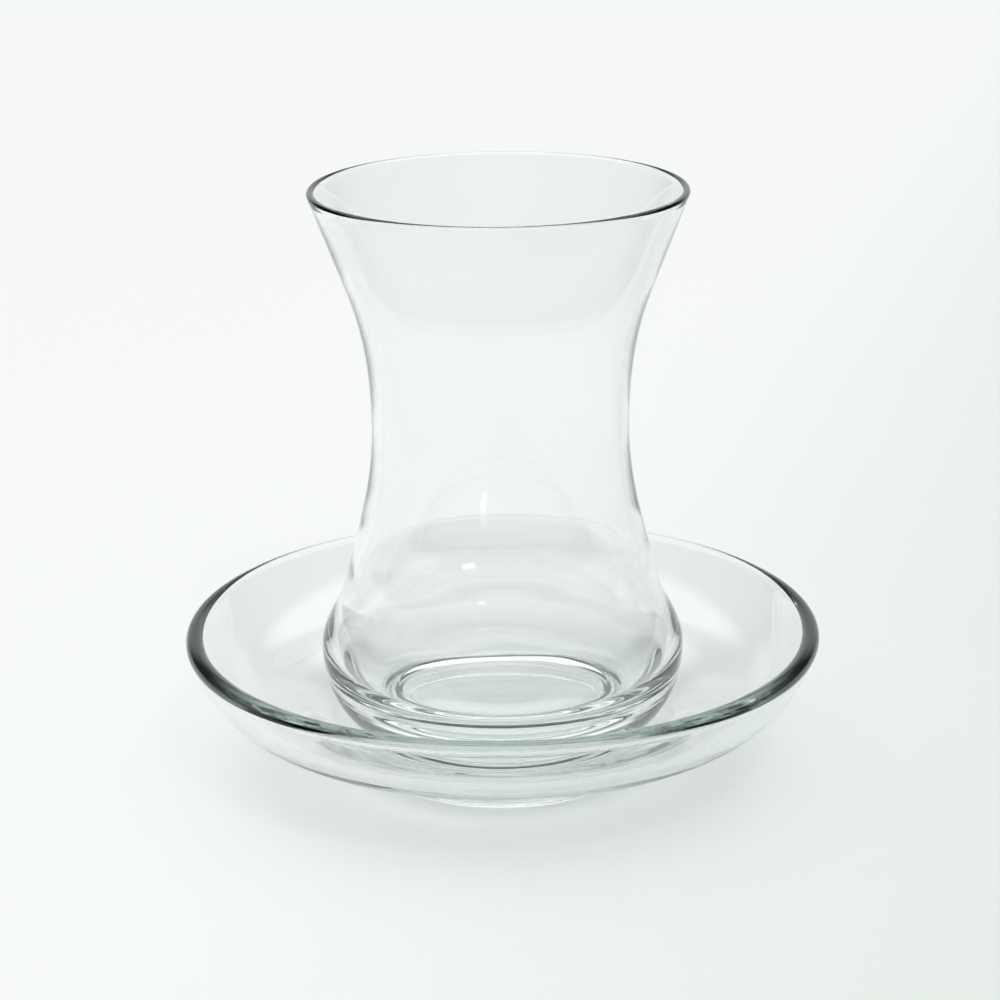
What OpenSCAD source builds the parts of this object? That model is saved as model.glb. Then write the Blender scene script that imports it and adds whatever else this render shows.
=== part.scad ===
// A small waisted tea glass standing on its own round saucer, both of clear pressed glass.
// Both pieces are turned shapes about the Z axis. The origin is on the table, under the saucer.

/* [Glass] */
// Height of the glass, from its base to the top of its rim
glass_h = 89; // [74:1:110]
// Outside diameter of the rim
rim_d = 60; // [50:0.5:72]
// Thickness of the rounded rim
rim_t = 1.2; // [0.8:0.1:2]
// Height of the straight lip, measured down from the rim
lip_h = 16; // [12:0.5:20]
// Outside diameter where the straight lip starts
lip_d = 48.4; // [42:0.1:56]
// Outside diameter of the waist, the narrowest place
waist_d = 41.3; // [36:0.1:49.5]
// Height of the waist above the base
waist_h = 50.4; // [42:0.1:56]
// Thickness of the wall at the waist
waist_wall = 1.6; // [1:0.1:2.4]
// Outside diameter of the neck, where the waist starts to spread
neck_d = 49; // [42:0.1:56]
// Height of the neck above the base
neck_h = 28.4; // [25:0.1:34]
// Radius lost for each millimetre of height at the neck
neck_slope = 0.27; // [0.1:0.01:0.45]
// Outside diameter of the shoulder, just above the belly
shoulder_d = 54.2; // [50:0.1:58]
// Height of the shoulder above the base
shoulder_h = 20.4; // [17:0.1:24]
// Radius lost for each millimetre of height at the shoulder
shoulder_slope = 0.52; // [0.3:0.01:0.7]
// Outside diameter of the belly, the widest place below the waist
belly_d = 59.4; // [50:0.1:71.5]
// Height of the belly above the base
belly_h = 13.4; // [11:0.1:16]
// Thickness of the wall at the belly
belly_wall = 2.3; // [1.5:0.1:3.5]
// Diameter of the flat base
base_d = 41; // [34:0.5:49.5]
// Thickness of the solid base under the floor of the glass
base_t = 4.6; // [3:0.1:7]
// Diameter of the flat middle of the floor inside the glass
floor_d = 18; // [10:0.5:34]
// Width of the ring that the glass stands on, around the shallow hollow under the base
stand_w = 1.5; // [1:0.1:4]
// Depth of the shallow hollow under the base
hollow_h = 0.5; // [0.3:0.1:1.2]

/* [Saucer] */
// Outside diameter of the saucer
saucer_d = 103.8; // [86:0.1:125]
// Height of the saucer, from the table to the top of its rim
saucer_h = 24; // [19:0.5:30]
// Thickness of the saucer's glass, all over
saucer_t = 3; // [2:0.1:4]
// Room on the saucer's flat floor around the base of the glass
seat_clear = 3.5; // [1:0.5:6]
// Width of the upturned side, measured in from the middle of the rim
side_w = 13.1; // [9:0.1:15]
// Height gained for each millimetre outward from the flat floor to where the side turns up
well_slope = 0.42; // [0.3:0.01:0.6]
// Height gained for each millimetre outward where the side turns up
bend_slope = 0.26; // [0:0.01:0.5]
// Height gained for each millimetre outward at the rim
rim_slope = 2.55; // [1.5:0.05:4]
// Outside diameter of the foot ring
foot_d = 45; // [37:0.5:54]
// Height of the foot ring under the saucer's floor
foot_h = 4.2; // [3:0.1:6]
// Width of the foot ring's wall
foot_wall = 3; // [2:0.1:4]
// Radius of the foot ring's two lower edges
foot_round = 0.8; // [0.3:0.1:0.9]

/* [Hidden] */
$fn = 120;
GLASS_TINT = [0.84, 0.91, 0.88, 0.45];
SIDE_STEPS = 12;
CORNER_STEPS = 10;
RIM_STEPS = 8;
FILLET_STEPS = 4;

seat_h = foot_h + saucer_t;
saucer_floor_d = base_d + 2 * seat_clear;
bend_r = saucer_d / 2 - saucer_t / 2 - side_w;
bend_h = seat_h + well_slope * (bend_r - saucer_floor_d / 2);

hollow_r = base_d / 2 - stand_w;
lip_slope = (rim_d - lip_d) / 2 / (lip_h - rim_t / 2);

// Stations up the outside of the glass, each [height, radius, radius gained per millimetre]
belly = [belly_h, belly_d / 2, 0];
shoulder = [shoulder_h, shoulder_d / 2, -shoulder_slope];
neck = [neck_h, neck_d / 2, -neck_slope];
waist = [waist_h, waist_d / 2, 0];
lip = [glass_h - lip_h, lip_d / 2, lip_slope];
rim = [glass_h - rim_t / 2, rim_d / 2, lip_slope];
OUTSIDE = [belly, shoulder, neck, waist, lip, rim];

// Thickness of the wall at height z, changing evenly between its named places
function wall(z) = lookup(z, [[belly_h, belly_wall], [waist_h, waist_wall], [rim[0], rim_t]]);

// The same stations moved in by the wall
INSIDE = [for (s = OUTSIDE) [s[0], s[1] - wall(s[0]), s[2]]];

// Radius at height z on the smooth curve that joins stations a and b with their own slopes
function eased(a, b, z) =
    let (
        rise = b[0] - a[0],
        t = (z - a[0]) / rise,
        share = t * t * (3 - 2 * t)
    )
    (1 - share) * a[1] + share * b[1]
    + rise * (t * (1 - t) * (1 - t) * a[2] + t * t * (t - 1) * b[2]);

// Outline points [radius, height] up a chain of stations, the last one included
function side(stations) = [
    for (i = [0 : len(stations) - 2], k = [0 : SIDE_STEPS - 1])
        let (
            a = stations[i],
            b = stations[i + 1],
            z = a[0] + (b[0] - a[0]) * k / SIDE_STEPS
        )
        [eased(a, b, z), z],
    [stations[len(stations) - 1][1], stations[len(stations) - 1][0]]
];

// Quarter ellipse from the edge of a floor, at radius r and height z, up to an upright station
function corner(r, z, station) = [
    for (k = [0 : CORNER_STEPS - 1])
        let (turn = 90 * k / CORNER_STEPS)
        [r + (station[1] - r) * sin(turn), station[0] - (station[0] - z) * cos(turn)]
];

// Arc of points about [r, z], from one angle to another, both included
function arc(r, z, radius, from, to, steps) = [
    for (k = [0 : steps])
        let (turn = from + (to - from) * k / steps)
        [r + radius * cos(turn), z + radius * sin(turn)]
];

// The same points in the opposite order
function reversed(points) = [for (i = [len(points) - 1 : -1 : 0]) points[i]];

// Shallow hollow under the base, from the axis out to its edge: level, and steep only near the edge
function base_hollow() = [
    for (k = [0 : CORNER_STEPS])
        let (share = sin(90 * k / CORNER_STEPS))
        [share * hollow_r, hollow_h * (1 - pow(share, 8))]
];

// Half outline of the glass: hollow base, round belly, waist and lip, over the rim and back inside
function glass_outline() = concat(
    base_hollow(),
    corner(base_d / 2, 0, belly),
    side(OUTSIDE),
    arc(rim_d / 2 - rim_t / 2, rim[0], rim_t / 2, 180 / RIM_STEPS, 180 - 180 / RIM_STEPS, RIM_STEPS - 2),
    reversed(side(INSIDE)),
    reversed(corner(floor_d / 2, base_t, INSIDE[0])),
    [[0, base_t]]
);

// Stations out along the middle of the saucer's glass, each [radius, height, height gained per mm]
floor_edge = [saucer_floor_d / 2, foot_h + saucer_t / 2, 0];
bend = [bend_r, bend_h - saucer_t / 2, bend_slope];
rim_middle = [saucer_d / 2 - saucer_t / 2, saucer_h - saucer_t / 2, rim_slope];

// Points [radius, height] along that middle, closer together towards the rim
MIDDLE = concat(
    [for (k = [0 : SIDE_STEPS - 1])
        let (r = floor_edge[0] + (bend[0] - floor_edge[0]) * k / SIDE_STEPS)
        [r, eased(floor_edge, bend, r)]],
    [for (k = [0 : SIDE_STEPS])
        let (r = bend[0] + side_w * sin(90 * k / SIDE_STEPS))
        [r, eased(bend, rim_middle, r)]]
);
LAST = len(MIDDLE) - 1;

// Direction of the middle at point i
function heading(i) = i == 0 ? [1, 0] : i == LAST ? [1, rim_slope] : MIDDLE[i + 1] - MIDDLE[i - 1];

// The middle moved sideways by half the saucer's thickness: up (1) for the inside, down (-1) for the outside
function face(way) = [
    for (i = [0 : LAST])
        let (ahead = heading(i) / norm(heading(i)))
        MIDDLE[i] + way * saucer_t / 2 * [-ahead[1], ahead[0]]
];

// Half outline of the dish: level underside, side, round rim, and back over the upper face
function dish_outline() =
    let (rim_turn = atan(rim_slope) - 90)
    concat(
        [[0, foot_h]],
        face(-1),
        arc(
            rim_middle[0], rim_middle[1], saucer_t / 2,
            rim_turn + 180 / RIM_STEPS, rim_turn + 180 - 180 / RIM_STEPS, RIM_STEPS - 2
        ),
        reversed(face(1)),
        [[0, seat_h]]
    );

// Section of the foot ring, which runs up into the dish
function foot_outline() = concat(
    [[foot_d / 2, foot_h + saucer_t / 2], [foot_d / 2 - foot_wall, foot_h + saucer_t / 2]],
    arc(foot_d / 2 - foot_wall + foot_round, foot_round, foot_round, 180, 270, FILLET_STEPS),
    arc(foot_d / 2 - foot_round, foot_round, foot_round, 270, 360, FILLET_STEPS)
);

module glass() {
    color(GLASS_TINT)
        translate([0, 0, seat_h])
            rotate_extrude()
                polygon(glass_outline());
}

module saucer() {
    color(GLASS_TINT) {
        union() {
            rotate_extrude()
                polygon(dish_outline());
            rotate_extrude()
                polygon(foot_outline());
        }
    }
}

glass();
saucer();
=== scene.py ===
import math

import bpy
import numpy as np
from mathutils import Euler, Matrix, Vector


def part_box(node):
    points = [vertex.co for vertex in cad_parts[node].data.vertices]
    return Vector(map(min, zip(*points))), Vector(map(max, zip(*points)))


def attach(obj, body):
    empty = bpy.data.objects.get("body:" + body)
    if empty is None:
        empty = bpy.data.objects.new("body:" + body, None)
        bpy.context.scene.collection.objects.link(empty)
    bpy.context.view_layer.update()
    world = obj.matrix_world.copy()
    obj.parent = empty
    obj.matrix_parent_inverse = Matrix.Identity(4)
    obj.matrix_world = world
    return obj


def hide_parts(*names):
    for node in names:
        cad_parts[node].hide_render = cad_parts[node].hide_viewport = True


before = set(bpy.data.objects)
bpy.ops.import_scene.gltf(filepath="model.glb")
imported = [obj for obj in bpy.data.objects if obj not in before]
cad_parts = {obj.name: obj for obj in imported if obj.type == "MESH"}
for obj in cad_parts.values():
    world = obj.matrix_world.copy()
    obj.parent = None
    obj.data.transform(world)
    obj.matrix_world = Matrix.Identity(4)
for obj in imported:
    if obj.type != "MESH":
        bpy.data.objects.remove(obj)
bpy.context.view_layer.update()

# ---------------------------------------------------------------------------------------------
# Camera. It stands a little above the glass at arm's length and looks down on the set, so the
# rim shows as a full oval. It is turned and tipped a degree or so, as when held by hand.
# ---------------------------------------------------------------------------------------------
EYE = (0.00891, -0.40601, 0.17847)
LOOK_DOWN = math.radians(18.235)
TURN_LEFT = math.radians(1.285)
TIP = math.radians(-0.584)

camera_data = bpy.data.cameras.new("camera")
camera_data.lens = 94.85
camera_data.sensor_width = 36.0
camera_data.clip_start = 0.01
camera_data.clip_end = 50.0
camera = bpy.data.objects.new("camera", camera_data)
bpy.context.scene.collection.objects.link(camera)
aim = Euler((math.pi / 2 - LOOK_DOWN, 0.0, TURN_LEFT)).to_matrix().to_4x4()
camera.matrix_world = Matrix.Translation(EYE) @ aim @ Matrix.Rotation(TIP, 4, "Z")
bpy.context.scene.camera = camera

# ---------------------------------------------------------------------------------------------
# Glass. A waisted tea glass of clear soda-lime glass, pressed in one piece: a thick solid base,
# a round belly, a narrow waist and a flared lip whose edge is melted round. It stands freely
# on the saucer's flat floor, on a narrow ring around a shallow hollow.
# ---------------------------------------------------------------------------------------------
MM = 0.001
AROUND = 256
HAIR = 0.03
CURVE_STEPS, SIDE_STEPS, WAVY_STEPS = 20, 14, 28


def eased(a, b, z):
    """Radius at height z on the cubic that leaves station a and meets station b, each
    [place, value, slope]: the two values blended by 3t^2 - 2t^3, plus rise times
    t(1-t)^2 of the first slope and t^2(t-1) of the second, where t runs from 0 to 1."""
    rise = b[0] - a[0]
    t = (z - a[0]) / rise
    share = t * t * (3 - 2 * t)
    bend = rise * (t * (1 - t) ** 2 * a[2] + t * t * (t - 1) * b[2])
    return (1 - share) * a[1] + share * b[1] + bend


def chain(stations, steps):
    """Points [value, place] up a chain of stations, with steps even steps in each stretch
    and the last station's own point left out."""
    parts = []
    for a, b in zip(stations, stations[1:]):
        z = np.linspace(a[0], b[0], steps, endpoint=False)
        parts.append(np.column_stack([eased(a, b, z), z]))
    return np.concatenate(parts)


def quarter(edge, station, steps):
    """Quarter of an ellipse from the edge [radius, height] of a floor, where it runs level,
    up to a station, where it stands upright: sine of the turn outward, cosine upward."""
    turn = np.linspace(0, math.pi / 2, steps, endpoint=False)
    radius = edge[0] + (station[1] - edge[0]) * np.sin(turn)
    height = station[0] - (station[0] - edge[1]) * np.cos(turn)
    return np.column_stack([radius, height])


def arc(centre, radius, start, end, steps):
    """Points on a circle about centre [radius, height], from one angle to another, in degrees."""
    turn = np.radians(np.linspace(start, end, steps + 1))
    return np.column_stack([centre[0] + radius * np.cos(turn), centre[1] + radius * np.sin(turn)])


def turned(name, outline, ripple=0.0):
    """Closed surface swept by a half outline [radius, height] once around the Z axis.
    Point (i, j) is outline point i turned by 2 pi j / AROUND, with ripple (i, j) added to its
    radius. The two ends lie on the axis, so each becomes one point with a fan of triangles."""
    rings = outline[1:-1]
    angle = 2 * math.pi * np.arange(AROUND) / AROUND
    radius = np.repeat(rings[:, :1], AROUND, axis=1) + ripple
    height = np.repeat(rings[:, 1:], AROUND, axis=1)
    x, y = radius * np.cos(angle), radius * np.sin(angle)
    points = np.stack([x, y, height], axis=-1).reshape(-1, 3)
    ends = np.array([[0, 0, outline[0, 1]], [0, 0, outline[-1, 1]]])
    points = np.concatenate([points, ends]) * MM
    count = len(rings)
    here = np.arange(AROUND)
    after = (here + 1) % AROUND
    low = np.arange(count - 1)[:, None] * AROUND
    quads = np.stack([low + here, low + after, low + AROUND + after, low + AROUND + here], axis=-1)
    first, last = count * AROUND, count * AROUND + 1
    bottom = np.stack([np.full(AROUND, first), after, here], axis=-1)
    top_ring = (count - 1) * AROUND
    top = np.stack([np.full(AROUND, last), top_ring + here, top_ring + after], axis=-1)
    faces = quads.reshape(-1, 4).tolist() + bottom.tolist() + top.tolist()
    mesh = bpy.data.meshes.new(name)
    mesh.from_pydata(points.tolist(), [], faces)
    mesh.polygons.foreach_set("use_smooth", np.ones(len(faces), bool))
    mesh.update()
    piece = bpy.data.objects.new(name, mesh)
    bpy.context.scene.collection.objects.link(piece)
    return piece


class Link:
    """A node's output that can be used in sums: each operator adds a Math node, and maths()
    adds one with any other operation."""

    def __init__(self, kit, socket):
        self.kit, self.socket = kit, socket

    def maths(self, operation, *others):
        settings = {"operation": operation}
        return self.kit.node("ShaderNodeMath", settings, dict(enumerate(others)))

    def __mul__(self, other):
        return self.maths("MULTIPLY", self, other)

    __rmul__ = __mul__

    def __sub__(self, other):
        return self.maths("SUBTRACT", self, other)

    def __rsub__(self, other):
        return self.maths("SUBTRACT", other, self)


class Finish:
    """A material under construction, or a world where one is handed in as the holder: node()
    adds any node, with its settings set first and then the values or links of its sockets,
    and gives back one of its outputs, the first unless another is named, as a Link."""

    def __init__(self, name, holder=None):
        self.material = holder or bpy.data.materials.new(name)
        self.material.use_nodes = True
        self.tree = self.material.node_tree
        self.tree.nodes.clear()

    def node(self, kind, settings=None, values=None, output=0):
        made = self.tree.nodes.new(kind)
        for key, value in (settings or {}).items():
            setattr(made, key, value)
        for key, value in (values or {}).items():
            fits = [i for i in made.inputs if key == i.name and i.enabled] or [made.inputs[key]]
            if isinstance(value, Link):
                self.tree.links.new(value.socket, fits[0])
            else:
                fits[0].default_value = value
        return Link(self, made.outputs[output]) if made.outputs else made


WORN = 0.5 * MM


def clear_glass(name, tint, density, stands_at):
    """Clear pressed glass: a smooth refracting skin with a faint unevenness, and a body that
    takes up a little more red than green, so only thick places look grey-green. Within
    WORN of stands_at, the height in metres that it rests on, fine scratches dull the skin."""
    glass = Finish(name)
    place = glass.node("ShaderNodeTexCoord", output="Object")
    height = glass.node("ShaderNodeSeparateXYZ", {}, {"Vector": place}, output="Z")
    swell = glass.node("ShaderNodeTexNoise", {}, {"Vector": place, "Scale": 45.0, "Detail": 0.0})
    bump = glass.node("ShaderNodeBump", {}, {"Height": swell, "Strength": 0.04, "Distance": 0.001})
    cords = glass.node("ShaderNodeTexNoise", {}, {"Vector": place, "Scale": 30.0, "Distortion": 1.5})
    melt = glass.node(
        "ShaderNodeMix", {"data_type": "RGBA"},
        {"Factor": cords, "A": (1.0, 1.0, 1.0, 1), "B": (0.975, 0.985, 0.98, 1)}, output=2)
    scratches = glass.node("ShaderNodeTexNoise", {}, {"Vector": place, "Scale": 2500.0})
    rest = glass.node(
        "ShaderNodeMapRange", {},
        {"Value": height, "From Min": stands_at, "From Max": stands_at + WORN, "To Min": 1.0, "To Max": 0.0})
    skin = glass.node(
        "ShaderNodeBsdfPrincipled", {},
        {"Base Color": melt, "Roughness": rest * scratches * 0.3, "IOR": 1.5,
         "Transmission Weight": 1.0, "Normal": bump})
    body = glass.node("ShaderNodeVolumeAbsorption", {}, {"Color": tint, "Density": density})
    glass.node("ShaderNodeOutputMaterial", {}, {"Surface": skin, "Volume": body})
    return glass.material


glass_low, glass_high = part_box("glass")
seat = glass_low.z / MM
rim_r = glass_high.x / MM
top = glass_high.z / MM - seat
rim_t = 1.2
lip_r, lip_h = 24.2, 16.0
lip_slope = (rim_r - lip_r) / (lip_h - rim_t / 2)
belly_h, belly_r, belly_t = 13.4, 29.7, 2.3
waist_h, waist_r, waist_t = 50.4, 20.65, 1.6
base_r, floor_r, base_t = 20.5, 9.0, 4.6
hollow_r, hollow_h = 19.0, 0.5

# The outside, up from the belly: height, radius, and radius gained for each millimetre of height
stations = np.array([
    [belly_h, belly_r, 0],
    [20.4, 27.1, -0.52],
    [28.4, 24.5, -0.27],
    [waist_h, waist_r, 0],
    [top - lip_h, lip_r, lip_slope],
    [top - rim_t / 2, rim_r, lip_slope],
])
wall = np.interp(stations[:, 0], [belly_h, waist_h, top - rim_t / 2], [belly_t, waist_t, rim_t])
inner = stations - np.column_stack([0 * wall, wall, 0 * wall])

share = np.sin(np.linspace(0, math.pi / 2, 28))
hollow = np.column_stack([share * hollow_r, hollow_h * (1 - share**8)])
ring = np.column_stack([np.linspace(hollow_r, base_r, 6)[1:-1], np.zeros(4)])
floor_line = np.column_stack([np.linspace(floor_r, 0, 12), np.full(12, base_t)])
outer = np.concatenate([
    hollow,
    ring,
    quarter((base_r, 0), stations[0], CURVE_STEPS),
    chain(stations, SIDE_STEPS),
    arc((rim_r - rim_t / 2, top - rim_t / 2), rim_t / 2, 0, 180, 16),
])
glass_outline = np.concatenate([
    outer,
    chain(inner, WAVY_STEPS)[::-1],
    quarter((floor_r, base_t), inner[0], CURVE_STEPS)[::-1][:-1],
    floor_line,
])
# The base floats a hair over the saucer, so that two clear skins never share a plane
glass_outline[:, 1] = np.maximum(glass_outline[:, 1], HAIR) + seat

# The plunger leaves the inside gently wavy from above the floor nearly up to the waist. The
# waves are sines of the turn and the height, and fade out at both ends by a squared sine
around = 2 * math.pi * np.arange(AROUND) / AROUND
up_wall = glass_outline[1:-1, 1:] - seat
inside = (np.arange(len(up_wall)) >= len(outer))[:, None]
wave_low, wave_high = 11, 41
fade = np.sin(np.clip((up_wall - wave_low) / (wave_high - wave_low), 0, 1) * math.pi) ** 2
waves = (
    0.07 * np.sin(around + 0.5 + up_wall / 1.6)
    + 0.01 * np.sin(2 * around + 2.1 - up_wall / 0.9)
    + 0.02 * np.sin(4 * around + up_wall / 4)
)
glass = turned("tea_glass", glass_outline, inside * fade * waves)
glass.data.materials.append(clear_glass("clear_glass", (0.85, 0.89, 0.875, 1), 26.0, glass_low.z))
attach(glass, "root")
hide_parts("glass")

# ---------------------------------------------------------------------------------------------
# Saucer. A round dish of the same clear glass, pressed about 3 mm thick: a flat floor under
# the glass, a gentle rise, an upturned side with a round rim, and a low foot ring underneath.
# ---------------------------------------------------------------------------------------------
saucer_low, saucer_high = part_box("saucer")
saucer_r = saucer_high.x / MM
saucer_h = saucer_high.z / MM
dish_t = 3.0
foot_h = seat - dish_t
foot_r, foot_wall, foot_round, foot_blend = 22.5, 3.0, 0.8, 1.0
well_r, side_w = 24.0, 13.1
well_slope, bend_slope, rim_slope = 0.42, 0.26, 2.55

# The middle of the dish's thickness, outward: radius, height, and height gained per millimetre
floor_edge = (well_r, foot_h + dish_t / 2, 0)
bend_r = saucer_r - dish_t / 2 - side_w
bend = (bend_r, seat + well_slope * (bend_r - well_r) - dish_t / 2, bend_slope)
rim_middle = (saucer_r - dish_t / 2, saucer_h - dish_t / 2, rim_slope)

out = np.linspace(floor_edge[0], bend[0], 30, endpoint=False)
up = bend[0] + side_w * np.sin(np.linspace(0, math.pi / 2, 40))
middle = np.column_stack([
    np.concatenate([out, up]),
    np.concatenate([eased(floor_edge, bend, out), eased(bend, rim_middle, up)]),
])
ahead = np.gradient(middle, axis=0)
ahead[0], ahead[-1] = (1, 0), (1, rim_slope)
ahead /= np.linalg.norm(ahead, axis=1)[:, None]
side_on = np.column_stack([-ahead[:, 1], ahead[:, 0]]) * dish_t / 2
rim_turn = math.degrees(math.atan(rim_slope)) - 90

inner_foot = foot_r - foot_wall
under = np.column_stack([np.linspace(0, inner_foot - foot_blend, 10)[:-1], np.full(9, foot_h)])
foot = np.concatenate([
    arc((inner_foot - foot_blend, foot_h - foot_blend), foot_blend, 90, 0, 6),
    arc((inner_foot + foot_round, foot_round), foot_round, 180, 270, 8),
    arc((foot_r - foot_round, foot_round), foot_round, 270, 360, 8),
    arc((foot_r + foot_blend, foot_h - foot_blend), foot_blend, 180, 90, 6),
])
upper_floor = np.column_stack([np.linspace(floor_edge[0], 0, 14)[1:], np.full(13, seat)])
saucer_outline = np.concatenate([
    under,
    foot,
    (middle - side_on)[:-1],
    arc((rim_middle[0], rim_middle[1]), dish_t / 2, rim_turn, rim_turn + 180, 24),
    (middle + side_on)[::-1][1:],
    upper_floor,
])

# The underside outside the foot is wavy too, by sines of the turn and the radius that fade out
# at the foot and the rim by a squared sine
first_side = len(under) + len(foot) - 1
outward = saucer_outline[1:-1, :1]
order = np.arange(len(outward))[:, None]
below = (order >= first_side) & (order < first_side + len(middle) - 1)
wave_in, wave_out = 25, saucer_r - dish_t
fade = np.sin(np.clip((outward - wave_in) / (wave_out - wave_in), 0, 1) * math.pi) ** 2
waves = 0.18 * np.sin(2 * around + outward / 1.5) + 0.05 * np.sin(9 * around + 0.7 - outward / 2.5)
saucer = turned("tea_saucer", saucer_outline, below * fade * waves)
saucer.data.materials.append(clear_glass("clear_glass_dish", (0.84, 0.88, 0.865, 1), 50.0, 0.0))
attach(saucer, "root")
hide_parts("saucer")

# ---------------------------------------------------------------------------------------------
# Table and light. The set stands on a wide sheet of matt pale board, with painted shade that
# makes it greyer towards the right. A broad white roof lights it from above and a dimmer wall
# from the far side, the room is nearly dark low down elsewhere, and a small lamp hangs behind
# the camera on the right.
# ---------------------------------------------------------------------------------------------
BOARD_HALF = 4.0
board_mesh = bpy.data.meshes.new("board")
board_mesh.from_pydata(
    [(x * BOARD_HALF, y * BOARD_HALF, 0) for x, y in ((-1, -1), (1, -1), (1, 1), (-1, 1))],
    [], [(0, 1, 2, 3)])
board = bpy.data.objects.new("board", board_mesh)
bpy.context.scene.collection.objects.link(board)
paper = Finish("pale_board")
spot = paper.node("ShaderNodeTexCoord", output="Object")
right = paper.node("ShaderNodeSeparateXYZ", {}, {"Vector": spot}, output="X")
back = paper.node("ShaderNodeSeparateXYZ", {}, {"Vector": spot}, output="Y")
# Painted shade: the board's colour turns a darker grey-green towards the right and a little towards the
# front, standing in for light falling off there
painted_shade_mask = paper.node(
    "ShaderNodeMapRange", {"interpolation_type": "SMOOTHSTEP"},
    {"Value": right - 0.3 * back, "From Min": -0.05, "From Max": 0.12})
painted_shade_colour = paper.node(
    "ShaderNodeMix", {"data_type": "RGBA"},
    {"Factor": painted_shade_mask, "A": (0.86, 0.87, 0.863, 1), "B": (0.73, 0.765, 0.74, 1)}, output=2)
paper_skin = paper.node(
    "ShaderNodeBsdfPrincipled", {},
    {"Base Color": painted_shade_colour, "Roughness": 0.9, "Specular IOR Level": 0.0})
paper.node("ShaderNodeOutputMaterial", {}, {"Surface": paper_skin})
board_mesh.materials.append(paper.material)

lamp_data = bpy.data.lights.new("soft_lamp", "AREA")
lamp_data.size = 0.12
lamp_data.energy = 1.0
lamp = bpy.data.objects.new("soft_lamp", lamp_data)
bpy.context.scene.collection.objects.link(lamp)
lamp.location = (0.33, -0.88, 1.15)
lamp.visible_glossy = False
lamp.rotation_euler = lamp.location.to_track_quat("Z", "Y").to_euler()

# Brightness by direction. The roof starts about 26 degrees up and is full at 43, and the wall
# spans the far side and drops to under half above 26 degrees; the brighter of the two counts
ROOF, WALL, ROOM = 1.50, 0.80, 0.05
world = bpy.data.worlds.new("tent")
world.use_nodes = True
room = Finish("tent", world)
facing = room.node("ShaderNodeTexCoord", output="Generated")
backward = room.node("ShaderNodeSeparateXYZ", {}, {"Vector": facing}, output="Y")
upward = room.node("ShaderNodeSeparateXYZ", {}, {"Vector": facing}, output="Z")
roof = room.node(
    "ShaderNodeMapRange", {"interpolation_type": "SMOOTHSTEP"},
    {"Value": upward, "From Min": 0.44, "From Max": 0.68, "To Min": ROOM, "To Max": ROOF})
wall_light = room.node(
    "ShaderNodeMapRange", {"interpolation_type": "SMOOTHSTEP"},
    {"Value": backward, "From Min": 0.7, "From Max": 0.9, "To Min": 0.0, "To Max": WALL})
wall_top = room.node(
    "ShaderNodeMapRange", {"interpolation_type": "SMOOTHSTEP"},
    {"Value": upward, "From Min": 0.36, "From Max": 0.44, "To Min": 1.0, "To Max": 0.45})
lit = roof.maths("MAXIMUM", roof, wall_light * wall_top)
sky = room.node("ShaderNodeBackground", {}, {"Color": (0.985, 1.0, 0.992, 1), "Strength": lit})
room.node("ShaderNodeOutputWorld", {}, {"Surface": sky})
bpy.context.scene.world = world
bpy.context.scene.view_settings.view_transform = "Standard"

# Light here crosses many clear skins, so it is followed further than usual and kept sharp
bounces = bpy.context.scene.cycles
bounces.max_bounces = 40
bounces.transmission_bounces = 40
bounces.glossy_bounces = 24
bounces.diffuse_bounces = 4
bounces.blur_glossy = 0.0
